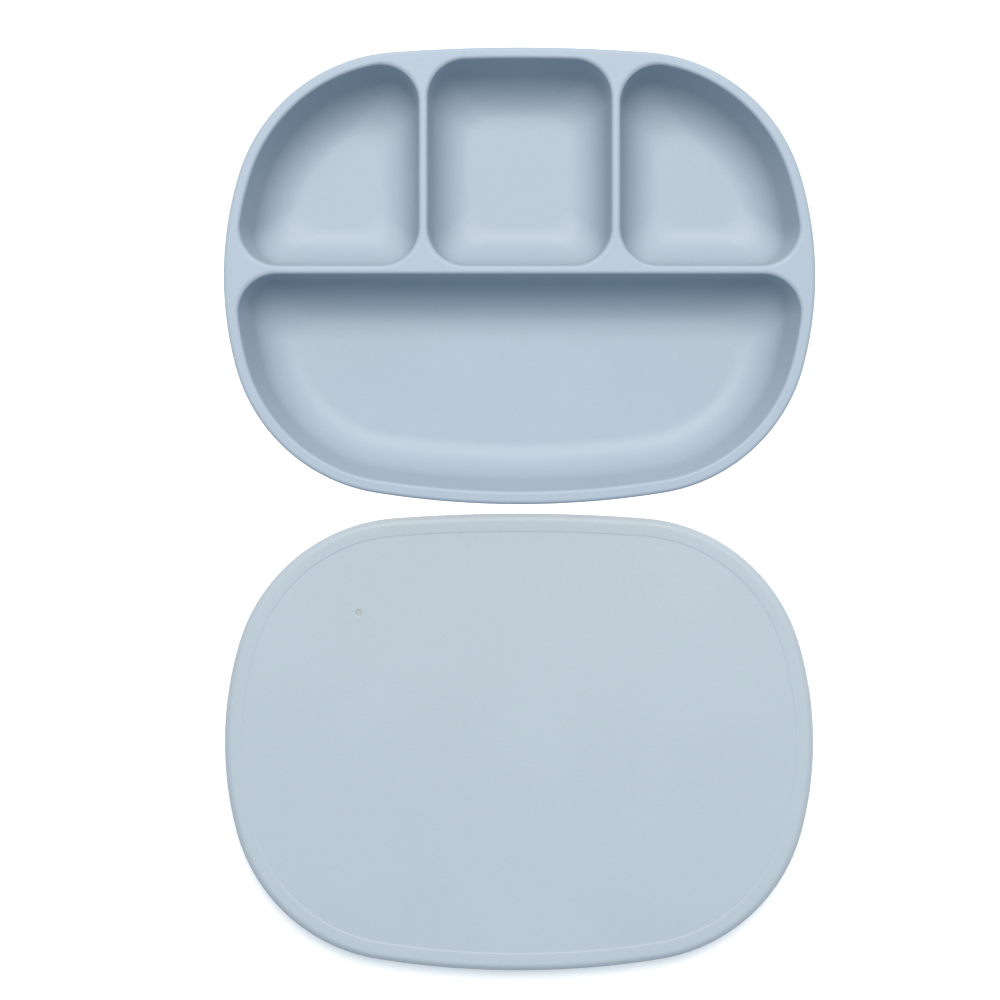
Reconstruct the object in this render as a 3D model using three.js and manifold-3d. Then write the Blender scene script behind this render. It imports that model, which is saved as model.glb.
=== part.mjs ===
// A divided suction plate for babies and its loose lid, laid out on a table with the lid in front.
// Millimetres, +Z up, X to the right, Y to the back. The origin lies on the table, at the middle of the pair.
// Six moulded silicone pieces: the plate with its four food wells, four suction cups under it, and the lid.
import * as THREE from "three";
import { mergeVertices } from "three/addons/utils/BufferGeometryUtils.js";
import Module from "manifold-3d";

const wasm = await Module();
wasm.setup();

// ---- Driving dimensions: the rim's outline, seen from above ----
const RIM_LENGTH = 215; // overall, along X
const RIM_DEPTH = 166; // overall, along Y
const SIDE_ARC = 128; // radius of the arc across each end of X
const BACK_ARC = 630; // radius of the nearly straight arc at the back
const FRONT_ARC = 330; // radius of the arc at the front
const CORNER_ARC = 63; // radius of the arc that joins each of them to the side

// ---- Driving dimensions: the plate ----
const PLATE_HEIGHT = 34; // table to rim, standing on its unpressed cups
const RIM_WIDTH = 4.2; // outer edge of the rim to a well's edge
const RIM_BAND = 5; // height of the rim's upright outer face
const EDGE_ROUND = 1.3; // radius along the top edges of the rim and the dividers
const BAND_ROUND = 0.5; // radius along the lower edge of the rim's outer face
const WALL = 3.4; // thickness of the outer wall, square to it
const WALL_DRAFT = 17; // lean of the outer wall from upright, in degrees
const FLOOR_THICKNESS = 3;
const FLOOR_FILLET = 15; // radius between a well's wall and its floor
const WELL_CORNER = 14; // plan radius of a well's corners at the rim
const FLOOR_CORNER = 9; // plan radius of the flat floor's corners
const DIVIDER = 3.1; // thickness of a divider at the rim
const DIVIDER_DRAFT = 6; // lean of each face of a divider, in degrees
const WELLS_BACK = 0.35; // how far the wells as a group sit towards the back, so the rim is broadest in front
const CROSS_DIVIDER_Y = 1.8; // centre line of the divider that runs along X, from the middle of the wells
const SIDE_DIVIDER_X = 35; // centre line of each divider that runs along Y
const FOOT_RING = 3; // width of the foot ring's face
const FOOT_ROUND = 0.8; // radius along the foot ring's edges
const RECESS = 4.6; // depth of the underside inside the foot ring, where the cups sit

// ---- Driving dimensions: the suction cups ----
const PRESS_TRAVEL = 2; // table to foot ring, which is how far the cups can be pressed
const CUP_RADIUS = 20;
const CUP_END_INSET = 49.5; // the rim's ends to a cup's centre, along X
const CUP_LONG_INSET = 49; // the rim's front or back to a cup's centre, along Y
const CUP_NECK_RADIUS = 8;
const CUP_LIP = 0.9; // thickness of the cup at its lip
const CUP_LIP_FACE = 1.6; // width of the flat ring that touches the table
const CUP_LIP_ROUND = 0.3;
const CUP_WALL = 1.2; // thickness of the cup beside its neck
const CUP_HOLLOW = 1.8; // height of the hollow at the middle of the cup
const NECK_IN_COLLAR = 0.6; // how far the neck reaches into its collar when it isn't pressed
const COLLAR_WALL = 3; // thickness of the collar round each neck
const JOIN_GAP = 0.3; // clearance between a cup and the plate, beside its neck and at full travel

// ---- Driving dimensions: the lid ----
const LID_HEIGHT = 12;
const LID_PANEL = 2.2; // thickness of the border that lies on the rim
const LID_SKIRT = 1.8; // thickness of the skirt that goes down round the rim
const LID_CLEARANCE = 0.3; // between the lid and the rim, when it is on
const LID_BORDER = 6.6; // width of the raised border round the top panel
const LID_STEP = 0.15; // how far the top panel lies below that border
const LID_EDGE_ROUND = 2.8; // radius along the lid's top edge
const LID_FOOT_ROUND = 0.4; // radius along the skirt's lower edges
const BEAD_HEIGHT = 2.4; // snap bead inside the skirt
const BEAD_DEPTH = 0.8;
const VENT_RADIUS = 1; // steam vent through the lid
const VENT_END_INSET = 47.9; // the rim's left end to the vent, along X, when the lid is on
const VENT_BACK_INSET = 34.7; // the rim's back to the vent, along Y
const LAYOUT_GAP = 3.5; // between the rim's front edge and the lid's back edge, as laid out

// ---- Fineness of the faceted solids ----
const SIDE_STEPS = 4; // chords in the arc across each side
const LONG_STEPS = 6; // chords in the long arc at the front and back
const CORNER_STEPS = 8; // chords in each corner arc of the outline
const WELL_CORNER_STEPS = 5; // chords round a well's corner
const EDGE_STEPS = 3; // chords across an edge round
const FILLET_STEPS = 5; // chords across a floor fillet
const CUP_STEPS = 28; // chords round a cup
const BELL_STEPS = 4; // chords across a cup's bell
const VENT_STEPS = 12; // chords round the vent
const OVERSHOOT = 1; // how far a cut runs past the face it opens in

// ---- Places that follow from the sizes above ----
const rad = THREE.MathUtils.degToRad;
const fullTurn = 2 * Math.PI;
const draftRun = Math.tan(rad(WALL_DRAFT)); // sideways run of the outer wall for each unit of height
const wallAcross = WALL / Math.cos(rad(WALL_DRAFT)); // the outer wall's thickness measured level
const recessTop = PRESS_TRAVEL + RECESS;
const floorTop = recessTop + FLOOR_THICKNESS;
const bandFoot = PLATE_HEIGHT - RIM_BAND;
const overhang = RIM_WIDTH + RIM_BAND * draftRun - wallAcross; // how far the rim stands out past the wall
const footOuter = overhang + (bandFoot - PRESS_TRAVEL) * draftRun;
const footInner = footOuter + FOOT_RING;
const bellTop = CUP_HOLLOW + CUP_WALL;
const collarFoot = bellTop + PRESS_TRAVEL + JOIN_GAP;
const neckTop = collarFoot + NECK_IN_COLLAR;
const cupX = RIM_LENGTH / 2 - CUP_END_INSET;
const cupY = RIM_DEPTH / 2 - CUP_LONG_INSET;
const ventX = VENT_END_INSET - RIM_LENGTH / 2;
const ventY = RIM_DEPTH / 2 - VENT_BACK_INSET;
const lidOuter = LID_CLEARANCE + LID_SKIRT; // how far the lid's outline stands outside the rim's
const lidDepth = RIM_DEPTH + 2 * lidOuter;
const pairDepth = RIM_DEPTH + LAYOUT_GAP + lidDepth;
const plateY = (pairDepth - RIM_DEPTH) / 2;
const lidY = (lidDepth - pairDepth) / 2;

const silicone = (color) => new THREE.MeshStandardMaterial({ color, roughness: 0.62, metalness: 0 });

// ---- The outline: tangent arcs, mirrored left and right ----
const sideCentre = new THREE.Vector2(RIM_LENGTH / 2 - SIDE_ARC, 0);

// The arcs of the back or the front half, as if it lay towards +Y. The corner arc touches the side arc and
// the long arc from inside.
function findHalf(longArc) {
  const longCentre = new THREE.Vector2(0, RIM_DEPTH / 2 - longArc);
  const toSide = SIDE_ARC - CORNER_ARC;
  const toLong = longArc - CORNER_ARC;
  const between = sideCentre.clone().sub(longCentre);
  const span = between.length();
  const run = (toLong ** 2 - toSide ** 2 + span ** 2) / (2 * span);
  const aside = Math.sqrt(toLong ** 2 - run ** 2);
  const unit = between.divideScalar(span);
  const square = new THREE.Vector2(-unit.y, unit.x);
  const [one, other] = [aside, -aside].map((step) =>
    longCentre.clone().addScaledVector(unit, run).addScaledVector(square, step),
  );
  const cornerCentre = one.x > other.x ? one : other;
  const sideEnd = Math.atan2(cornerCentre.y, cornerCentre.x - sideCentre.x);
  const longStart = Math.atan2(cornerCentre.y - longCentre.y, cornerCentre.x);
  return { longArc, longCentre, cornerCentre, sideEnd, longStart };
}
const backHalf = findHalf(BACK_ARC);
const frontHalf = findHalf(FRONT_ARC);

// The point of the outline whose outward normal has this angle, moved inwards by inset.
function outlinePoint(angle, inset) {
  const cos = Math.cos(angle);
  const sin = Math.sin(angle);
  const half = sin > 0 ? backHalf : frontHalf;
  const inQuadrant = Math.atan2(Math.abs(sin), Math.abs(cos));
  let centre = half.cornerCentre;
  let radius = CORNER_ARC;
  if (inQuadrant < half.sideEnd) [centre, radius] = [sideCentre, SIDE_ARC];
  if (inQuadrant > half.longStart) [centre, radius] = [half.longCentre, half.longArc];
  const x = centre.x * Math.sign(cos) + (radius - inset) * cos;
  const y = centre.y * Math.sign(sin) + (radius - inset) * sin;
  return new THREE.Vector2(x, y);
}

// Evenly spaced values, from the first up to but not including the last.
function spread(from, to, steps) {
  return Array.from({ length: steps }, (_, i) => from + ((to - from) * i) / steps);
}

// Normal angles of the outline's points, once round from the right.
const outlineAngles = [backHalf, frontHalf].flatMap(({ sideEnd, longStart }, i) => {
  const start = i * Math.PI;
  const end = start + Math.PI;
  return [
    ...spread(start, start + sideEnd, SIDE_STEPS / 2),
    ...spread(start + sideEnd, start + longStart, CORNER_STEPS),
    ...spread(start + longStart, end - longStart, LONG_STEPS),
    ...spread(end - longStart, end - sideEnd, CORNER_STEPS),
    ...spread(end - sideEnd, end, SIDE_STEPS / 2),
  ];
});

// ---- Bodies from level rings ----
const outlineRing = (z, inset) => ({ z, points: outlineAngles.map((angle) => outlinePoint(angle, inset)) });

const direction = (angle) => new THREE.Vector2(Math.cos(angle), Math.sin(angle));

function roundRing(z, radius, steps, centre = new THREE.Vector2()) {
  const at = (angle) => direction(angle).multiplyScalar(radius).add(centre);
  return { z, points: spread(0, fullTurn, steps).map(at) };
}

// One closed body through rings with equally many points, lowest first, with a flat fan across each end.
function loft(rings) {
  const count = rings[0].points.length;
  const positions = rings.flatMap(({ z, points }) => points.flatMap((point) => [point.x, point.y, z]));
  const index = [];
  for (let start = 0; start < (rings.length - 1) * count; start += count) {
    for (let i = 0; i < count; i++) {
      const here = start + i;
      const next = start + ((i + 1) % count);
      index.push(here, next, next + count, here, next + count, here + count);
    }
  }
  for (const ring of [rings[0], rings.at(-1)]) {
    const start = ring === rings[0] ? 0 : (rings.length - 1) * count;
    const sum = ring.points.reduce((total, point) => total.add(point), new THREE.Vector2());
    const middle = positions.length / 3;
    positions.push(sum.x / count, sum.y / count, ring.z);
    for (let i = 0; i < count; i++) {
      const pair = [start + i, start + ((i + 1) % count)];
      if (start === 0) pair.reverse();
      index.push(middle, ...pair);
    }
  }
  const vertProperties = new Float32Array(positions);
  const triVerts = new Uint32Array(index);
  return new wasm.Manifold(new wasm.Mesh({ numProp: 3, vertProperties, triVerts }));
}

function namedMesh(name, solid, color) {
  const { vertProperties, triVerts } = solid.getMesh();
  const geometry = new THREE.BufferGeometry();
  geometry.setAttribute("position", new THREE.BufferAttribute(vertProperties, 3));
  geometry.setIndex(new THREE.BufferAttribute(triVerts, 1));
  const mesh = new THREE.Mesh(mergeVertices(geometry), silicone(color));
  mesh.name = name;
  return mesh;
}

// Levels of a round that turns an upright face, at this inset, over into the flat top.
function topRound(radius, top, inset) {
  return [...spread(0, Math.PI / 2, EDGE_STEPS), Math.PI / 2].map((angle) => ({
    z: top - radius * (1 - Math.sin(angle)),
    inset: inset + radius * (1 - Math.cos(angle)),
  }));
}

// ---- The wells: the rim's inner outline, cut off by the dividers, with rounded corners ----
// The straight sides that the dividers give a well, anticlockwise, each with the angle of its outward
// normal and its distance from the middle of the wells along it. The rim closes the rest in its chords.
const besideCross = { angle: rad(270), distance: -CROSS_DIVIDER_Y - DIVIDER / 2 };
const wells = [
  {
    rimSteps: 3,
    sides: [
      { angle: rad(180), distance: SIDE_DIVIDER_X - DIVIDER / 2 },
      besideCross,
      { angle: rad(360), distance: SIDE_DIVIDER_X - DIVIDER / 2 },
    ],
  },
  { rimSteps: 9, sides: [besideCross, { angle: rad(360), distance: -SIDE_DIVIDER_X - DIVIDER / 2 }] },
  { rimSteps: 9, sides: [{ angle: rad(180), distance: -SIDE_DIVIDER_X - DIVIDER / 2 }, besideCross] },
  { rimSteps: 20, sides: [{ angle: rad(90), distance: CROSS_DIVIDER_Y - DIVIDER / 2 }] },
];

// Normal angle of the outline, moved in by inset, where a straight side moved in by shift crosses it.
// The turn is 1 at the side's end and -1 at its start, going anticlockwise.
function crossing(side, inset, shift, turn) {
  const normal = direction(side.angle);
  let near = 0;
  let far = Math.PI;
  while (far - near > 1e-9) {
    const middle = (near + far) / 2;
    const reach = outlinePoint(side.angle + turn * middle, inset).dot(normal);
    if (reach > side.distance - shift) near = middle;
    else far = middle;
  }
  return side.angle + turn * near;
}

// How far a wall of this lean stands in from a well's edge at this height. It is rounded at the rim and
// filleted at the floor.
function wallInset(z, lean) {
  const turnShare = Math.tan(Math.PI / 4 - lean / 2); // where a round ends, as a share of its radius
  const belowRim = PLATE_HEIGHT - z;
  if (belowRim < EDGE_ROUND * (1 - Math.sin(lean))) {
    const rise = 1 - Math.max(0, belowRim) / EDGE_ROUND;
    return EDGE_ROUND * (Math.sqrt(1 - rise ** 2) - turnShare);
  }
  const aboveFloor = z - floorTop;
  if (aboveFloor > FLOOR_FILLET * (1 - Math.sin(lean))) return belowRim * Math.tan(lean);
  const floorEdge = (PLATE_HEIGHT - floorTop) * Math.tan(lean) + FLOOR_FILLET * turnShare;
  return floorEdge - Math.sqrt(FLOOR_FILLET ** 2 - (FLOOR_FILLET - aboveFloor) ** 2);
}

// A level ring round a well at this height; its corners tighten from the rim down to the floor.
function wellRing({ sides, rimSteps }, z) {
  const share = THREE.MathUtils.clamp((PLATE_HEIGHT - z) / (PLATE_HEIGHT - floorTop), 0, 1);
  const radius = THREE.MathUtils.lerp(WELL_CORNER, FLOOR_CORNER, share);
  const rimInset = RIM_WIDTH + wallInset(z, rad(WALL_DRAFT));
  const sideShift = radius + wallInset(z, rad(DIVIDER_DRAFT));
  const points = [];
  const turnCorner = (centre, from, to) => {
    for (const angle of [...spread(from, to, WELL_CORNER_STEPS), to]) {
      points.push(direction(angle).multiplyScalar(radius).add(centre));
    }
  };
  sides.forEach((side, i) => {
    const wrap = i + 1 === sides.length ? fullTurn : 0;
    const next = sides[(i + 1) % sides.length];
    const nextAngle = next.angle + wrap;
    if (nextAngle - side.angle < rad(135)) {
      const corner = direction(side.angle).multiplyScalar(side.distance - sideShift);
      corner.addScaledVector(direction(nextAngle), next.distance - sideShift);
      turnCorner(corner, side.angle, nextAngle);
      return;
    }
    const leave = crossing(side, rimInset + radius, sideShift, 1);
    const arrive = crossing(next, rimInset + radius, sideShift, -1) + wrap;
    turnCorner(outlinePoint(leave, rimInset + radius), side.angle, leave);
    for (const angle of spread(leave, arrive, rimSteps).slice(1)) points.push(outlinePoint(angle, rimInset));
    turnCorner(outlinePoint(arrive, rimInset + radius), arrive, nextAngle);
  });
  for (const point of points) point.y += WELLS_BACK;
  return { z, points };
}

// The space inside a well, open through the rim. A divider's face is the steepest, so its rounds set the
// heights of the rings.
function wellSpace(well) {
  const lean = rad(DIVIDER_DRAFT);
  const upright = Math.PI / 2;
  const fillet = [...spread(0, upright - lean, FILLET_STEPS), upright - lean];
  const edge = [...spread(lean, upright, EDGE_STEPS), upright];
  const heights = [
    ...fillet.map((angle) => floorTop + FLOOR_FILLET * (1 - Math.cos(angle))),
    ...edge.map((angle) => PLATE_HEIGHT - EDGE_ROUND * (1 - Math.sin(angle))),
    PLATE_HEIGHT + OVERSHOOT,
  ];
  return loft(heights.map((z) => wellRing(well, z)));
}

// ---- The plate ----
function plateOuter() {
  const rings = [
    outlineRing(PRESS_TRAVEL, footOuter + FOOT_ROUND),
    outlineRing(PRESS_TRAVEL + FOOT_ROUND, footOuter - FOOT_ROUND * draftRun),
    outlineRing(bandFoot, overhang),
    outlineRing(bandFoot, BAND_ROUND),
    outlineRing(bandFoot + BAND_ROUND, 0),
  ];
  for (const { z, inset } of topRound(EDGE_ROUND, PLATE_HEIGHT, 0)) rings.push(outlineRing(z, inset));
  return loft(rings);
}

function recessSpace() {
  return loft([
    outlineRing(PRESS_TRAVEL - OVERSHOOT, footInner - FOOT_ROUND),
    outlineRing(PRESS_TRAVEL, footInner - FOOT_ROUND),
    outlineRing(PRESS_TRAVEL + FOOT_ROUND, footInner),
    outlineRing(recessTop, footInner + RECESS * draftRun),
  ]);
}

const cupPlaces = [
  { name: "suction_cup_front_left", centre: new THREE.Vector2(-cupX, -cupY) },
  { name: "suction_cup_front_right", centre: new THREE.Vector2(cupX, -cupY) },
  { name: "suction_cup_back_left", centre: new THREE.Vector2(-cupX, cupY) },
  { name: "suction_cup_back_right", centre: new THREE.Vector2(cupX, cupY) },
];

function dividedPlate() {
  const boreRadius = CUP_NECK_RADIUS + JOIN_GAP;
  const collarRadius = boreRadius + COLLAR_WALL;
  const collarTop = recessTop + FLOOR_THICKNESS / 2;
  const boreTop = neckTop + PRESS_TRAVEL + JOIN_GAP;
  let plate = plateOuter().subtract(recessSpace());
  for (const well of wells) plate = plate.subtract(wellSpace(well));
  for (const { centre } of cupPlaces) {
    const collar = [collarFoot, collarTop].map((z) => roundRing(z, collarRadius, CUP_STEPS, centre));
    const bore = [collarFoot - OVERSHOOT, boreTop].map((z) => roundRing(z, boreRadius, CUP_STEPS, centre));
    plate = plate.add(loft(collar)).subtract(loft(bore));
  }
  return namedMesh("divided_plate", plate, "#c3cdd7");
}

// ---- A suction cup: a shallow bell on a neck that slides in its collar ----
function suctionCup(name, centre) {
  const hollowRadius = CUP_RADIUS - CUP_LIP_FACE;
  const outer = [
    roundRing(0, CUP_RADIUS - CUP_LIP_ROUND, CUP_STEPS),
    roundRing(CUP_LIP_ROUND, CUP_RADIUS, CUP_STEPS),
  ];
  for (const share of [...spread(1, 0, BELL_STEPS), 0]) {
    const z = CUP_LIP + (bellTop - CUP_LIP) * (1 - share ** 2);
    outer.push(roundRing(z, THREE.MathUtils.lerp(CUP_NECK_RADIUS, CUP_RADIUS, share), CUP_STEPS));
  }
  outer.push(roundRing(neckTop, CUP_NECK_RADIUS, CUP_STEPS));
  const hollow = [roundRing(-OVERSHOOT, hollowRadius, CUP_STEPS)];
  for (const share of spread(1, 0, BELL_STEPS)) {
    hollow.push(roundRing(CUP_HOLLOW * (1 - share ** 2), hollowRadius * share, CUP_STEPS));
  }
  const mesh = namedMesh(name, loft(outer).subtract(loft(hollow)), "#bcc7d2");
  mesh.position.set(centre.x, centre.y, 0);
  return mesh;
}

// ---- The lid: a flat panel with a skirt round the rim, and a bead that snaps under the rim's band ----
function lid() {
  const beadTop = LID_HEIGHT - LID_PANEL - RIM_BAND - LID_CLEARANCE;
  const panelInset = LID_BORDER - lidOuter;
  const outer = [outlineRing(0, LID_FOOT_ROUND - lidOuter), outlineRing(LID_FOOT_ROUND, -lidOuter)];
  const edge = topRound(LID_EDGE_ROUND, LID_HEIGHT, -lidOuter);
  for (const { z, inset } of edge) outer.push(outlineRing(z, inset));
  const panel = [LID_HEIGHT - LID_STEP, LID_HEIGHT + OVERSHOOT].map((z) => outlineRing(z, panelInset));
  const hollow = [
    outlineRing(-OVERSHOOT, -LID_CLEARANCE - LID_FOOT_ROUND),
    outlineRing(0, -LID_CLEARANCE - LID_FOOT_ROUND),
    outlineRing(LID_FOOT_ROUND, -LID_CLEARANCE),
    outlineRing(beadTop - BEAD_HEIGHT, -LID_CLEARANCE),
    outlineRing(beadTop - BEAD_HEIGHT / 3, BEAD_DEPTH - LID_CLEARANCE),
    outlineRing(beadTop, -LID_CLEARANCE),
    outlineRing(LID_HEIGHT - LID_PANEL, -LID_CLEARANCE),
  ];
  const ventCentre = new THREE.Vector2(ventX, ventY);
  const vent = [0, LID_HEIGHT + OVERSHOOT].map((z) => roundRing(z, VENT_RADIUS, VENT_STEPS, ventCentre));
  const cuts = [panel, hollow, vent].map(loft);
  const mesh = namedMesh("lid", cuts.reduce((solid, cut) => solid.subtract(cut), loft(outer)), "#c4ced8");
  mesh.position.set(0, lidY, 0);
  return mesh;
}

// ---- The set, laid out ----
const plateGroup = new THREE.Group();
plateGroup.position.set(0, plateY, 0);
plateGroup.add(dividedPlate());
for (const { name, centre } of cupPlaces) plateGroup.add(suctionCup(name, centre));

const suctionPlateSet = new THREE.Group();
suctionPlateSet.add(plateGroup, lid());

export default suctionPlateSet;
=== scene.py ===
"""A divided silicone suction plate for babies, with its loose lid laid out in front of it."""

from math import atan2, cos, pi, radians, sin, sqrt, tan

import bmesh
import bpy
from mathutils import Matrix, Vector


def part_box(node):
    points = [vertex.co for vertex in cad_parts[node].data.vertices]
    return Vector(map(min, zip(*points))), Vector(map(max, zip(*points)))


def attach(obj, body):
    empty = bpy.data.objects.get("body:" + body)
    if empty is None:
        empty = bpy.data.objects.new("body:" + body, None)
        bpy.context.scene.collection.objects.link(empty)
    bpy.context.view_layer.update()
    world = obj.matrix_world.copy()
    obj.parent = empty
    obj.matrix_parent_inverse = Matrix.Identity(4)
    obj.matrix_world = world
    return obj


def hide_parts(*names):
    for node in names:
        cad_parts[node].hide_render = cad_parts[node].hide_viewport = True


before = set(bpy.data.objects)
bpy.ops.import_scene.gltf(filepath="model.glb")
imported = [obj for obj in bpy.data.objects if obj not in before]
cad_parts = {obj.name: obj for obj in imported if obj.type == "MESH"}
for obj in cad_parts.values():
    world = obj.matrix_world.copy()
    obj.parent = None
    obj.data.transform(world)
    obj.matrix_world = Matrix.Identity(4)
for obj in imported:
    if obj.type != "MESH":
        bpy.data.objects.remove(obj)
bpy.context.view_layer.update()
bpy.ops.object.select_all(action="DESELECT")

# ---------------------------------------------------------------------------------------------------
# The plate: one compression moulding in soft food-grade silicone. The rim, the outer wall, the floor
# and the solid dividers between the four wells stand on one foot ring, and four collars under the floor
# hold the suction cups.
# ---------------------------------------------------------------------------------------------------
plate_low, plate_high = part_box("divided_plate")
plate_centre = (plate_low + plate_high) / 2
rim_length = plate_high.x - plate_low.x
rim_depth = plate_high.y - plate_low.y
rim_top = plate_high.z
foot_level = plate_low.z

side_arc = 0.128  # radius of the arc across each end
back_arc = 0.630  # radius of the nearly straight arc at the back
front_arc = 0.330  # radius of the arc at the front
corner_arc = 0.063  # radius of the arc that joins each of them to the side
rim_width = 0.0042
rim_band = 0.005  # height of the rim's upright outer face
edge_round = 0.0013
band_round = 0.0005
wall_thickness = 0.0034
wall_draft = radians(17)
divider_draft = radians(6)
divider_thickness = 0.0031
wells_back = 0.00035  # how far the wells as a group sit towards the back
cross_divider_y = 0.0018  # from the middle of the wells
side_divider_x = 0.035
floor_thickness = 0.003
floor_fillet = 0.015
well_corner = 0.014
floor_corner = 0.009
foot_ring = 0.003
foot_round = 0.0008
recess = 0.0046
recess_round = 0.0012  # between the recess's wall and its top
cup_inset = Vector((0.0495, 0.049))
collar_radius = 0.0113
collar_root = 0.0008  # radius where a collar meets the recess
collar_round = 0.0004
collar_lift = 0.0033  # from the foot ring up to the collars' feet
bore_radius = 0.0083
neck_headroom = 0.0023  # above a resting cup's neck
bore_round = 0.0003
flat_margin = 0.00015  # a flat face's border, which keeps its shading flat

side_steps, corner_steps, long_steps = 14, 30, 40  # along half an end, a corner and a long side
well_corner_steps = 16
edge_steps, fillet_steps = 8, 20

recess_top = foot_level + recess
floor_top = recess_top + floor_thickness
band_foot = rim_top - rim_band
overhang = rim_width + rim_band * tan(wall_draft) - wall_thickness / cos(wall_draft)
foot_outer = overhang + (band_foot - foot_level) * tan(wall_draft)
foot_inner = foot_outer + foot_ring

side_centre = Vector((rim_length / 2 - side_arc, 0))


def find_half(long_arc):
    """The arcs of the back or the front half of the outline, as if it lay towards the back.

    The corner arc touches the side arc and the long arc from inside."""
    long_centre = Vector((0, rim_depth / 2 - long_arc))
    to_side = side_arc - corner_arc
    to_long = long_arc - corner_arc
    between = side_centre - long_centre
    run = (to_long**2 - to_side**2 + between.length_squared) / (2 * between.length)
    aside = sqrt(to_long**2 - run**2)
    along = between.normalized()
    across = Vector((-along.y, along.x))
    found = [long_centre + along * run + across * step for step in (aside, -aside)]
    corner_centre = max(found, key=lambda point: point.x)
    return {
        "long_arc": long_arc,
        "long_centre": long_centre,
        "corner_centre": corner_centre,
        "side_end": atan2(corner_centre.y, corner_centre.x - side_centre.x),
        "long_start": atan2(corner_centre.y - long_centre.y, corner_centre.x),
    }


back_half = find_half(back_arc)
front_half = find_half(front_arc)


def outline_point(facing, inset):
    """The point of the rim's outline that faces this way, moved in by inset, from the outline's centre."""
    half = back_half if sin(facing) > 0 else front_half
    quadrant = atan2(abs(sin(facing)), abs(cos(facing)))
    centre, radius = half["corner_centre"], corner_arc
    if quadrant < half["side_end"]:
        centre, radius = side_centre, side_arc
    if quadrant > half["long_start"]:
        centre, radius = half["long_centre"], half["long_arc"]
    across = 1 if cos(facing) > 0 else -1
    along = 1 if sin(facing) > 0 else -1
    x = centre.x * across + (radius - inset) * cos(facing)
    y = centre.y * along + (radius - inset) * sin(facing)
    return Vector((x, y))


def spread(start, end, steps):
    return [start + (end - start) * step / steps for step in range(steps)]


outline_facings = []
for start, half in ((0, back_half), (pi, front_half)):
    side_end = half["side_end"]
    long_start = half["long_start"]
    outline_facings += spread(start, start + side_end, side_steps)
    outline_facings += spread(start + side_end, start + long_start, corner_steps)
    outline_facings += spread(start + long_start, start + pi - long_start, long_steps)
    outline_facings += spread(start + pi - long_start, start + pi - side_end, corner_steps)
    outline_facings += spread(start + pi - side_end, start + pi, side_steps)


def outline_ring(inset):
    return [outline_point(facing, inset) for facing in outline_facings]


def circle_ring(radius, centre=Vector((0, 0)), steps=72):
    return [centre + Vector((cos(a), sin(a))) * radius for a in spread(0, 2 * pi, steps)]


def start_piece(name):
    """An empty mesh piece, open in edit mode."""
    bpy.ops.mesh.primitive_circle_add(vertices=3, radius=0.001, location=(0, 0, 0))
    piece = bpy.context.object
    piece.name = piece.data.name = name
    bpy.ops.object.mode_set(mode="EDIT")
    bpy.ops.mesh.delete(type="VERT")
    piece.data.attributes.new("station", "INT", "POINT")
    return piece


def place_ring(piece, points, level, centre):
    """Moves the selected ring's vertices to their stations on these points."""
    mesh = bmesh.from_edit_mesh(piece.data)
    station = mesh.verts.layers.int["station"]
    for vertex in mesh.verts:
        if vertex.select:
            point = points[vertex[station]]
            vertex.co = (centre.x + point.x, centre.y + point.y, level)
    bmesh.update_edit_mesh(piece.data)


def add_ring(piece, points, level, centre):
    """A new ring of edges through these points, left selected. A new circle's first vertex faces the back."""
    bpy.ops.mesh.select_all(action="DESELECT")
    bpy.ops.mesh.primitive_circle_add(vertices=len(points), radius=0.01, location=(0, 0, 0))
    mesh = bmesh.from_edit_mesh(piece.data)
    station = mesh.verts.layers.int["station"]
    step = 2 * pi / len(points)
    for vertex in mesh.verts:
        if vertex.select:
            turn = atan2(vertex.co.y, vertex.co.x) - pi / 2
            vertex[station] = round(turn / step) % len(points)
    place_ring(piece, points, level, centre)


def extrude_rings(piece, rings, centre):
    """Extrudes the selected ring through the next rings, each given as its points and its level."""
    for points, level in rings:
        bpy.ops.mesh.extrude_edges_move()
        place_ring(piece, points, level, centre)


def select_rings(piece, level):
    """Selects the open edges that lie at this level."""
    bpy.ops.mesh.select_all(action="DESELECT")
    bpy.ops.mesh.select_mode(type="EDGE")
    mesh = bmesh.from_edit_mesh(piece.data)
    for edge in mesh.edges:
        at_level = all(abs(vertex.co.z - level) < 1e-6 for vertex in edge.verts)
        if at_level and len(edge.link_faces) < 2:
            edge.select_set(True)
    bmesh.update_edit_mesh(piece.data)
    bpy.ops.mesh.select_mode(type="VERT")


crease_angle = radians(50)


def finish_piece(piece):
    """Merges what is doubled, turns every face outwards and shades the mesh smooth up to its creases."""
    bpy.ops.mesh.select_all(action="SELECT")
    bpy.ops.mesh.remove_doubles(threshold=1e-7)
    bpy.ops.mesh.normals_make_consistent(inside=False)
    bpy.ops.mesh.select_all(action="DESELECT")
    bpy.ops.object.mode_set(mode="OBJECT")
    bpy.ops.object.select_all(action="DESELECT")
    piece.select_set(True)
    bpy.context.view_layer.objects.active = piece
    bpy.ops.object.shade_smooth_by_angle(angle=crease_angle)
    piece.data.attributes.remove(piece.data.attributes["station"])
    piece.select_set(False)


def round_rings(radius, corner, swing, steps=edge_steps):
    """Inset and level along a quarter round, from its upright end to its flat end.

    The corner is the inset and the level where the two faces would meet, and swing says on which side of
    it the round's centre lies, sideways and up."""
    rings = []
    for turn in spread(0, pi / 2, steps) + [pi / 2]:
        inset = corner[0] + swing[0] * radius * (1 - cos(turn))
        level = corner[1] + swing[1] * radius * (1 - sin(turn))
        rings.append((inset, level))
    return rings


plate = start_piece("silicone_plate")

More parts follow.
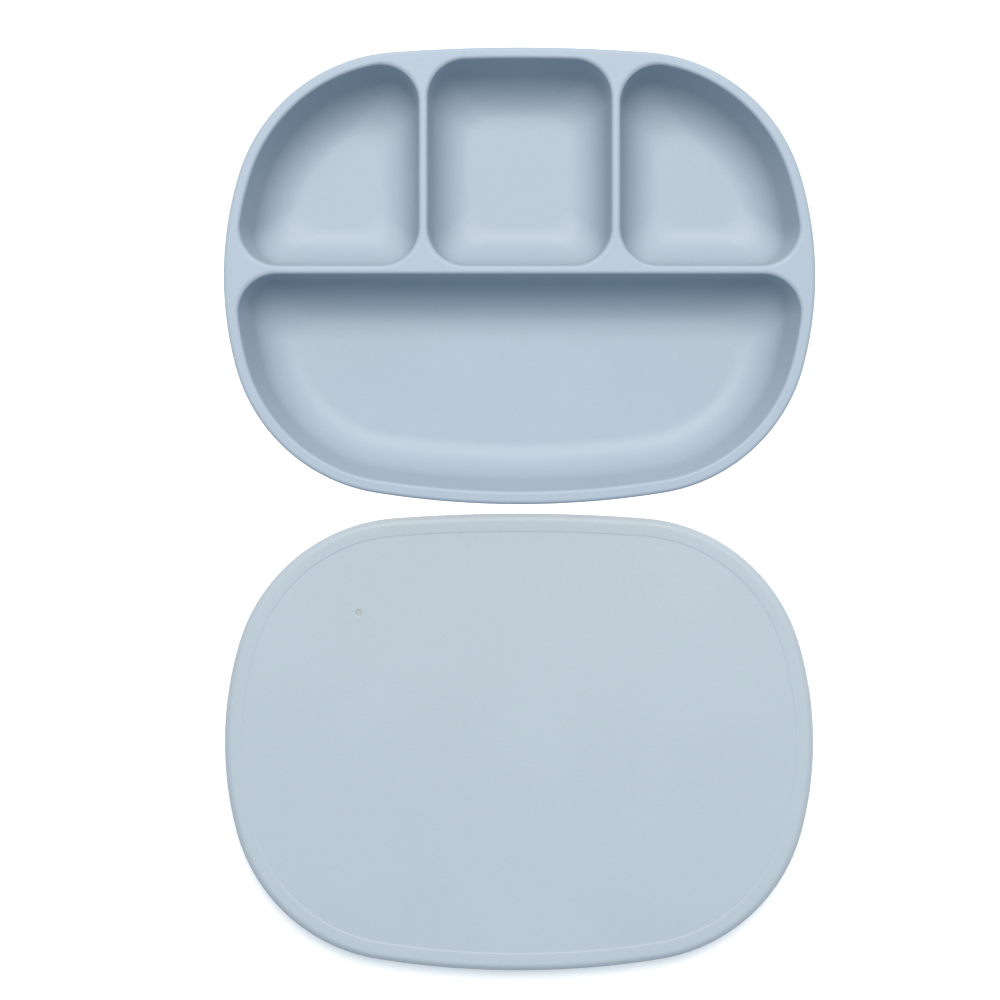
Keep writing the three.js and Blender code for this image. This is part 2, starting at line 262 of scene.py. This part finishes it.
outer_profile = [
    (foot_outer + foot_round + flat_margin, foot_level),
    (foot_outer + foot_round, foot_level),
    (foot_outer + 0.3 * foot_round, foot_level + 0.25 * foot_round),
    (foot_outer - foot_round * tan(wall_draft), foot_level + foot_round),
    (overhang + 0.0006 * tan(wall_draft), band_foot - 0.0006),
    (overhang - 0.0001, band_foot - 0.0001),
    (overhang - 0.0005, band_foot),
    (band_round, band_foot),
    (0.3 * band_round, band_foot + 0.3 * band_round),
    (0, band_foot + band_round),
]
outer_profile += round_rings(edge_round, (0, rim_top), (1, -1))
outer_profile.append((edge_round + flat_margin, rim_top))
first_inset, first_level = outer_profile[0]
add_ring(plate, outline_ring(first_inset), first_level, plate_centre)
rings = [(outline_ring(inset), level) for inset, level in outer_profile[1:]]
extrude_rings(plate, rings, plate_centre)

recess_profile = [
    (foot_outer + foot_round + flat_margin, foot_level),
    (foot_inner - foot_round, foot_level),
    (foot_inner - 0.3 * foot_round, foot_level + 0.3 * foot_round),
    (foot_inner, foot_level + foot_round),
    (foot_inner + (recess - recess_round) * tan(wall_draft), recess_top - recess_round),
    (
        foot_inner + recess_round / 2 + (recess - recess_round / 4) * tan(wall_draft),
        recess_top - recess_round / 4,
    ),
    (foot_inner + recess_round + recess * tan(wall_draft), recess_top),
    (foot_inner + recess_round + recess * tan(wall_draft) + flat_margin, recess_top),
]
first_inset, first_level = recess_profile[0]
add_ring(plate, outline_ring(first_inset), first_level, plate_centre)
rings = [(outline_ring(inset), level) for inset, level in recess_profile[1:]]
extrude_rings(plate, rings, plate_centre)


# Each well is the rim's inner outline, cut off by the dividers. A divider's side is given by the way it
# faces, from inside the well, and its distance from the plate's centre.
beside_cross = (1.5 * pi, -cross_divider_y - divider_thickness / 2)
near_distance = side_divider_x - divider_thickness / 2
far_distance = -side_divider_x - divider_thickness / 2
wells = [
    {"steps": 30, "sides": [(pi, near_distance), beside_cross, (2 * pi, near_distance)]},
    {"steps": 60, "sides": [beside_cross, (2 * pi, far_distance)]},
    {"steps": 60, "sides": [(pi, far_distance), beside_cross]},
    {"steps": 120, "sides": [(pi / 2, cross_divider_y - divider_thickness / 2)]},
]


def crossing(side, inset, shift, turn):
    """Where the outline, moved in by inset, crosses a straight side that is moved in by shift."""
    facing, distance = side
    normal = Vector((cos(facing), sin(facing)))
    near, far = 0, pi
    while far - near > 1e-9:
        middle = (near + far) / 2
        reach = outline_point(facing + turn * middle, inset).dot(normal)
        if reach > distance - shift:
            near = middle
        else:
            far = middle
    return facing + turn * near


def wall_inset(level, lean):
    """How far a wall of this lean stands in from a well's edge: round at the rim, filleted at the floor."""
    turn_share = tan(pi / 4 - lean / 2)
    below = rim_top - level
    if below < edge_round * (1 - sin(lean)) - 1e-9:
        rise = 1 - max(0, below) / edge_round
        return edge_round * (sqrt(max(0, 1 - rise**2)) - turn_share)
    above = level - floor_top
    if above > floor_fillet * (1 - sin(lean)):
        return below * tan(lean)
    floor_edge = (rim_top - floor_top) * tan(lean) + floor_fillet * turn_share
    return floor_edge - sqrt(max(0, floor_fillet**2 - (floor_fillet - above) ** 2))


def well_ring(well, level, extra=0):
    """A level ring round a well. Its corners tighten from the rim down to the floor."""
    share = (rim_top - level) / (rim_top - floor_top)
    radius = well_corner + (floor_corner - well_corner) * share - extra
    rim_inset = rim_width + wall_inset(level, wall_draft) + extra
    side_shift = radius + wall_inset(level, divider_draft) + extra
    points = []

    def turn_corner(centre, start, end):
        for facing in spread(start, end, well_corner_steps) + [end]:
            points.append(centre + Vector((cos(facing), sin(facing))) * radius)

    sides = well["sides"]
    for number, side in enumerate(sides):
        following = sides[(number + 1) % len(sides)]
        wrap = 2 * pi if number + 1 == len(sides) else 0
        next_facing = following[0] + wrap
        if next_facing - side[0] < radians(135):
            corner = Vector((cos(side[0]), sin(side[0]))) * (side[1] - side_shift)
            corner += Vector((cos(next_facing), sin(next_facing))) * (following[1] - side_shift)
            turn_corner(corner, side[0], next_facing)
            continue
        leave = crossing(side, rim_inset + radius, side_shift, 1)
        arrive = crossing(following, rim_inset + radius, side_shift, -1) + wrap
        turn_corner(outline_point(leave, rim_inset + radius), side[0], leave)
        points += [outline_point(facing, rim_inset) for facing in spread(leave, arrive, well["steps"])[1:]]
        turn_corner(outline_point(arrive, rim_inset + radius), arrive, next_facing)
    return [point + Vector((0, wells_back)) for point in points]


# A divider's face is the steepest, so its rounds set the levels of the rings.
edge_turns = spread(0, pi / 2 - divider_draft, edge_steps) + [pi / 2 - divider_draft]
fillet_turns = spread(pi / 2 - divider_draft, 0, fillet_steps) + [0]
well_levels = [rim_top - edge_round * (1 - cos(turn)) for turn in edge_turns]
well_levels += [floor_top + floor_fillet * (1 - cos(turn)) for turn in fillet_turns]
for well in wells:
    add_ring(plate, well_ring(well, rim_top, -flat_margin), rim_top, plate_centre)
    rings = [(well_ring(well, level), level) for level in well_levels]
    rings.append((well_ring(well, floor_top, flat_margin), floor_top))
    extrude_rings(plate, rings, plate_centre)
    bpy.ops.mesh.edge_face_add()

select_rings(plate, rim_top)
bpy.ops.mesh.fill(use_beauty=False)

# Four collars stand in the recess.
cup_centres = {}
for depth_word, along in (("front", -1), ("back", 1)):
    for side_word, across in (("left", -1), ("right", 1)):
        offset = Vector((across * (rim_length / 2 - cup_inset.x), along * (rim_depth / 2 - cup_inset.y)))
        cup_centres[f"{depth_word}_{side_word}"] = plate_centre.xy + offset

cup_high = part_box("suction_cup_front_left")[1].z
collar_foot = foot_level + collar_lift
bore_top = cup_high + neck_headroom
collar_profile = [
    (collar_radius + collar_root + flat_margin, recess_top),
    (collar_radius + collar_root, recess_top),
    (collar_radius + collar_root / 4, recess_top - collar_root / 4),
    (collar_radius, recess_top - 0.0007),
    (collar_radius, collar_foot + collar_round),
    (collar_radius - collar_round / 4, collar_foot + collar_round / 4),
    (collar_radius - collar_round, collar_foot),
    (bore_radius + bore_round, collar_foot),
    (bore_radius, collar_foot + bore_round),
    (bore_radius, bore_top - bore_round),
    (bore_radius - bore_round, bore_top),
]
for centre in cup_centres.values():
    place = Vector((centre.x, centre.y, 0))
    add_ring(plate, circle_ring(collar_profile[0][0]), collar_profile[0][1], place)
    extrude_rings(plate, [(circle_ring(radius), level) for radius, level in collar_profile[1:]], place)
    bpy.ops.mesh.edge_face_add()

select_rings(plate, recess_top)
bpy.ops.mesh.fill(use_beauty=False)
finish_piece(plate)


def new_material(name):
    material = bpy.data.materials.new(name)
    material.use_nodes = True
    return material, material.node_tree.nodes, material.node_tree.links


def build_silicone_surface():
    """Moulded silicone: faint clouding in the colour, a fine grain from the mould, and rare pale lint."""
    group = bpy.data.node_groups.new("moulded_silicone_surface", "ShaderNodeTree")
    sockets = group.interface
    sockets.new_socket("Silicone Color", in_out="INPUT", socket_type="NodeSocketColor")
    sockets.new_socket("Roughness", in_out="INPUT", socket_type="NodeSocketFloat")
    sockets.new_socket("Clouding", in_out="INPUT", socket_type="NodeSocketFloat")
    sockets.new_socket("Grain Depth", in_out="INPUT", socket_type="NodeSocketFloat")
    sockets.new_socket("Color", in_out="OUTPUT", socket_type="NodeSocketColor")
    sockets.new_socket("Roughness", in_out="OUTPUT", socket_type="NodeSocketFloat")
    sockets.new_socket("Height", in_out="OUTPUT", socket_type="NodeSocketFloat")
    nodes, links = group.nodes, group.links
    given = nodes.new("NodeGroupInput")
    result = nodes.new("NodeGroupOutput")
    place = nodes.new("ShaderNodeTexCoord")

    def noise(scale, detail, rough=0.5):
        node = nodes.new("ShaderNodeTexNoise")
        node.inputs["Scale"].default_value = scale
        node.inputs["Detail"].default_value = detail
        node.inputs["Roughness"].default_value = rough
        links.new(place.outputs["Object"], node.inputs["Vector"])
        return node.outputs["Fac"]

    def calculate(operation, one, two):
        node = nodes.new("ShaderNodeMath")
        node.operation = operation
        for socket, value in zip(node.inputs, (one, two)):
            if isinstance(value, (int, float)):
                socket.default_value = value
            else:
                links.new(value, socket)
        return node.outputs[0]

    clouds = calculate("SUBTRACT", noise(22, 3), 0.5)
    grain = noise(2600, 2, 0.6)
    fine_grain = noise(900, 2, 0.6)
    fleck_field = nodes.new("ShaderNodeTexVoronoi")
    fleck_field.inputs["Scale"].default_value = 95
    fleck_field.inputs["Randomness"].default_value = 1
    links.new(place.outputs["Object"], fleck_field.inputs["Vector"])
    near_fleck = calculate("LESS_THAN", fleck_field.outputs["Distance"], 0.028)
    split = nodes.new("ShaderNodeSeparateColor")
    links.new(fleck_field.outputs["Color"], split.inputs[0])
    chosen = calculate("GREATER_THAN", split.outputs[0], 0.8)
    flecks = calculate("MULTIPLY", near_fleck, chosen)

    shade = calculate("MULTIPLY", clouds, given.outputs["Clouding"])
    shade = calculate("ADD", shade, 1)
    speckle = calculate("SUBTRACT", fine_grain, 0.5)
    speckle = calculate("MULTIPLY", speckle, 0.05)
    shade = calculate("ADD", shade, speckle)
    tint = nodes.new("ShaderNodeVectorMath")
    tint.operation = "SCALE"
    links.new(given.outputs["Silicone Color"], tint.inputs[0])
    links.new(shade, tint.inputs["Scale"])
    lint = nodes.new("ShaderNodeMix")
    lint.data_type = "RGBA"
    lint.inputs["B"].default_value = (0.82, 0.85, 0.88, 1)
    links.new(calculate("MULTIPLY", flecks, 0.12), lint.inputs["Factor"])
    links.new(tint.outputs[0], lint.inputs["A"])
    links.new(lint.outputs["Result"], result.inputs["Color"])

    polish = calculate("MULTIPLY", clouds, 0.12)
    links.new(calculate("ADD", given.outputs["Roughness"], polish), result.inputs["Roughness"])
    relief = calculate("ADD", calculate("MULTIPLY", grain, 0.5), fine_grain)
    links.new(calculate("MULTIPLY", relief, given.outputs["Grain Depth"]), result.inputs["Height"])
    return group


silicone_surface = build_silicone_surface()


def silicone(name, color, roughness, clouding, grain):
    material, nodes, links = new_material(name)
    shader = nodes["Principled BSDF"]
    surface = nodes.new("ShaderNodeGroup")
    surface.node_tree = silicone_surface
    surface.inputs["Silicone Color"].default_value = (*color, 1)
    surface.inputs["Roughness"].default_value = roughness
    surface.inputs["Clouding"].default_value = clouding
    surface.inputs["Grain Depth"].default_value = grain
    bump = nodes.new("ShaderNodeBump")
    bump.inputs["Strength"].default_value = 0.35
    bump.inputs["Distance"].default_value = 0.0001
    links.new(surface.outputs["Color"], shader.inputs["Base Color"])
    links.new(surface.outputs["Roughness"], shader.inputs["Roughness"])
    links.new(surface.outputs["Height"], bump.inputs["Height"])
    links.new(bump.outputs["Normal"], shader.inputs["Normal"])
    shader.inputs["IOR"].default_value = 1.41
    shader.inputs["Specular IOR Level"].default_value = 0.35
    shader.inputs["Sheen Weight"].default_value = 0.06
    shader.inputs["Sheen Roughness"].default_value = 0.5
    return material


plate.data.materials.append(silicone("plate_silicone", (0.29, 0.337, 0.392), 0.45, 0.07, 1.0))
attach(plate, "plate")
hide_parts("divided_plate")

# ---------------------------------------------------------------------------------------------------
# The suction cups: four thin bells of smoother silicone under the plate. Each stands on its lip, and its
# neck slides up in a collar of the plate when it is pressed down.
# ---------------------------------------------------------------------------------------------------
cup_low, cup_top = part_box("suction_cup_front_left")
cup_radius = (cup_top.x - cup_low.x) / 2
neck_radius = 0.008
bell_top = 0.003
cup_lip = 0.0009
lip_face = 0.0016
cup_hollow = 0.0018
neck_round = 0.0004

lip_level = cup_low.z
cup_profile = [
    (cup_radius - lip_face, lip_level),
    (cup_radius - 0.0003, lip_level),
    (cup_radius - 0.0001, lip_level + 0.0001),
    (cup_radius, lip_level + 0.0003),
    (cup_radius, lip_level + 0.0007),
    (cup_radius - 0.0003, lip_level + cup_lip),
]
for share in spread(0.96, 0.02, 16):
    radius = neck_radius + (cup_radius - neck_radius) * share
    cup_profile.append((radius, lip_level + cup_lip + (bell_top - cup_lip) * (1 - share**2)))
cup_profile += [
    (neck_radius, lip_level + bell_top + 0.0002),
    (neck_radius, cup_top.z - neck_round),
    (neck_radius - neck_round / 4, cup_top.z - neck_round / 4),
    (neck_radius - neck_round, cup_top.z),
]
hollow_profile = [(cup_radius - lip_face, lip_level)]
for share in spread(0.97, 0.05, 14):
    hollow_profile.append(((cup_radius - lip_face) * share, lip_level + cup_hollow * (1 - share**2)))

cup_silicone = silicone("cup_silicone", (0.28, 0.325, 0.375), 0.38, 0.05, 0.5)
first_cup = start_piece("silicone_cup_front_left")
first_place = Vector((cup_centres["front_left"].x, cup_centres["front_left"].y, 0))
for profile in (cup_profile, hollow_profile):
    add_ring(first_cup, circle_ring(profile[0][0]), profile[0][1], first_place)
    extrude_rings(first_cup, [(circle_ring(radius), level) for radius, level in profile[1:]], first_place)
    bpy.ops.mesh.edge_face_add()
finish_piece(first_cup)
first_cup.data.materials.append(cup_silicone)

for place_name, centre in cup_centres.items():
    if place_name != "front_left":
        first_cup.select_set(True)
        bpy.context.view_layer.objects.active = first_cup
        bpy.ops.object.duplicate(linked=False)
        cup = bpy.context.object
        cup.name = cup.data.name = f"silicone_cup_{place_name}"
        shift = centre - first_place.xy
        cup.location = (shift.x, shift.y, 0)
        bpy.ops.object.transform_apply(location=True, rotation=False, scale=False)
        bpy.ops.object.select_all(action="DESELECT")
for place_name in cup_centres:
    cup = bpy.data.objects[f"silicone_cup_{place_name}"]
    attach(cup, f"cup_{place_name}")
    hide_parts(f"suction_cup_{place_name}")

# ---------------------------------------------------------------------------------------------------
# The lid: a second moulding in the same silicone, lying top up. Its panel lies a hair below a broad flat
# border, its skirt goes down round the plate's rim, and a bead inside the skirt snaps under the rim.
# ---------------------------------------------------------------------------------------------------
lid_low, lid_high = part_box("lid")
lid_centre = (lid_low + lid_high) / 2
lid_top = lid_high.z
lid_outer = (lid_high.x - lid_low.x - rim_length) / 2  # how far its outline stands outside the rim's
lid_panel = 0.0022
lid_skirt = 0.0018
lid_border = 0.0066
lid_step = 0.00015
lid_edge_round = 0.0028
lid_foot_round = 0.0004
lid_inner_round = 0.0006  # between the skirt and the panel's underside
bead_height = 0.0024
bead_depth = 0.0008
step_run = 0.0003  # half the width over which the border goes down to the panel
vent_radius = 0.001
vent_round = 0.0003
vent_inset = Vector((0.0479, 0.0347))

lid_clearance = lid_outer - lid_skirt
panel_inset = lid_border - lid_outer
bead_top = lid_top - lid_panel - rim_band - lid_clearance
vent_centre = Vector((vent_inset.x - rim_length / 2, rim_depth / 2 - vent_inset.y))

lid = start_piece("silicone_lid")
top_profile = [
    (-lid_outer + lid_skirt / 2, lid_low.z),
    (-lid_outer + lid_foot_round, lid_low.z),
    (-lid_outer + 0.3 * lid_foot_round, lid_low.z + 0.3 * lid_foot_round),
    (-lid_outer, lid_low.z + lid_foot_round),
]
top_profile += round_rings(lid_edge_round, (-lid_outer, lid_top), (1, -1), 12)
top_profile += [
    (-lid_outer + lid_edge_round + flat_margin, lid_top),
    (panel_inset - step_run, lid_top),
    (panel_inset - step_run / 2, lid_top - 0.1 * lid_step),
    (panel_inset, lid_top - lid_step / 2),
    (panel_inset + step_run / 2, lid_top - 0.9 * lid_step),
    (panel_inset + step_run, lid_top - lid_step),
    (panel_inset + step_run + flat_margin, lid_top - lid_step),
]
under_profile = [
    (-lid_outer + lid_skirt / 2, lid_low.z),
    (-lid_clearance - lid_foot_round, lid_low.z),
    (-lid_clearance - 0.3 * lid_foot_round, lid_low.z + 0.3 * lid_foot_round),
    (-lid_clearance, lid_low.z + lid_foot_round),
    (-lid_clearance, bead_top - bead_height),
]
for turn in spread(0, pi, 10):
    swell = bead_depth * sin(turn)
    under_profile.append((-lid_clearance + swell, bead_top - bead_height * (1 + cos(turn)) / 2))
under_profile += [
    (-lid_clearance, bead_top),
    (-lid_clearance, lid_top - lid_panel - lid_inner_round),
    (-lid_clearance + 0.0002, lid_top - lid_panel - 0.0002),
    (-lid_clearance + lid_inner_round, lid_top - lid_panel),
    (-lid_clearance + 0.0008, lid_top - lid_panel),
]
for profile in (top_profile, under_profile):
    add_ring(lid, outline_ring(profile[0][0]), profile[0][1], lid_centre)
    extrude_rings(lid, [(outline_ring(inset), level) for inset, level in profile[1:]], lid_centre)

panel_level = lid_top - lid_step
underside_level = lid_top - lid_panel
vent_place = Vector((lid_centre.x + vent_centre.x, lid_centre.y + vent_centre.y, 0))
vent_profile = [
    (vent_radius + vent_round + flat_margin, panel_level),
    (vent_radius + vent_round, panel_level),
    (vent_radius + 0.0001, panel_level - 0.0001),
    (vent_radius, panel_level - vent_round),
    (vent_radius, underside_level + vent_round),
    (vent_radius + vent_round, underside_level),
    (vent_radius + vent_round + flat_margin, underside_level),
]
add_ring(lid, circle_ring(vent_profile[0][0], steps=32), vent_profile[0][1], vent_place)
rings = [(circle_ring(radius, steps=32), level) for radius, level in vent_profile[1:]]
extrude_rings(lid, rings, vent_place)
for level in (panel_level, underside_level):
    select_rings(lid, level)
    bpy.ops.mesh.fill(use_beauty=False)
finish_piece(lid)
lid.data.materials.append(silicone("lid_silicone", (0.325, 0.365, 0.4), 0.5, 0.06, 1.2))
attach(lid, "lid")
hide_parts("lid")

# ---------------------------------------------------------------------------------------------------
# The table: plain pale paper, lit up a little so that it stays white beside the set.
# ---------------------------------------------------------------------------------------------------
bpy.ops.mesh.primitive_plane_add(size=8, location=(0, 0, 0))
table = bpy.context.object
table.name = table.data.name = "white_table"
table_paper, nodes, links = new_material("table_paper")
shader = nodes["Principled BSDF"]
fibres = nodes.new("ShaderNodeTexNoise")
fibres.inputs["Scale"].default_value = 300
place = nodes.new("ShaderNodeTexCoord")
links.new(place.outputs["Object"], fibres.inputs["Vector"])
paper_shade = nodes.new("ShaderNodeMix")
paper_shade.data_type = "RGBA"
paper_shade.inputs["A"].default_value = (0.6, 0.6, 0.6, 1)
paper_shade.inputs["B"].default_value = (0.64, 0.64, 0.64, 1)
links.new(fibres.outputs["Fac"], paper_shade.inputs["Factor"])
links.new(paper_shade.outputs["Result"], shader.inputs["Base Color"])
shader.inputs["Roughness"].default_value = 0.9
shader.inputs["Emission Color"].default_value = (1, 1, 1, 1)
shader.inputs["Emission Strength"].default_value = 0.42
table.data.materials.append(table_paper)

# ---------------------------------------------------------------------------------------------------
# Soft studio light from above and behind. The plate and the lid each have a softbox of their own, so that
# the plate's shadow doesn't fall on the lid. The camera is straight above the set.
# ---------------------------------------------------------------------------------------------------
plate_pieces = bpy.data.collections.new("plate_and_cups")
for piece in (plate, *(bpy.data.objects[f"silicone_cup_{place_name}"] for place_name in cup_centres)):
    plate_pieces.objects.link(piece)
lid_and_table = bpy.data.collections.new("lid_and_table")
for piece in (lid, table):
    lid_and_table.objects.link(piece)


softbox_width, softbox_depth = 2, 1.75
warm_white = (1, 0.945, 0.878)


def add_softbox(name, lit, place, energy):
    """A rectangular softbox that faces the middle of the set and lights only one collection."""
    bpy.ops.object.light_add(type="AREA", location=place)
    softbox = bpy.context.object
    softbox.name = softbox.data.name = name
    softbox.data.shape = "RECTANGLE"
    softbox.data.size = softbox_width
    softbox.data.size_y = softbox_depth
    softbox.data.energy = energy
    softbox.data.color = warm_white
    softbox.rotation_euler = Vector(place).to_track_quat("Z", "Y").to_euler()
    softbox.light_linking.receiver_collection = lit
    softbox.light_linking.blocker_collection = lit


add_softbox("plate_softbox", plate_pieces, (-0.1, 1.22, 2.36), 110)
add_softbox("lid_softbox", lid_and_table, (0.1, 1.2, 2.36), 113)

world = bpy.data.worlds.new("studio_room")
bpy.context.scene.world = world
world.use_nodes = True
world.node_tree.nodes["Background"].inputs["Color"].default_value = (0.54, 0.785, 1, 1)
world.node_tree.nodes["Background"].inputs["Strength"].default_value = 0.57

bpy.ops.object.camera_add(location=(-0.0071, 0.0054, 0.94), rotation=(0, 0, 0))
camera = bpy.context.object
camera.name = camera.data.name = "studio_camera"
camera.data.sensor_width = 36
camera.data.lens = 89.9
camera.data.clip_start = 0.01
bpy.context.scene.camera = camera
bpy.context.scene.view_settings.view_transform = "Standard"
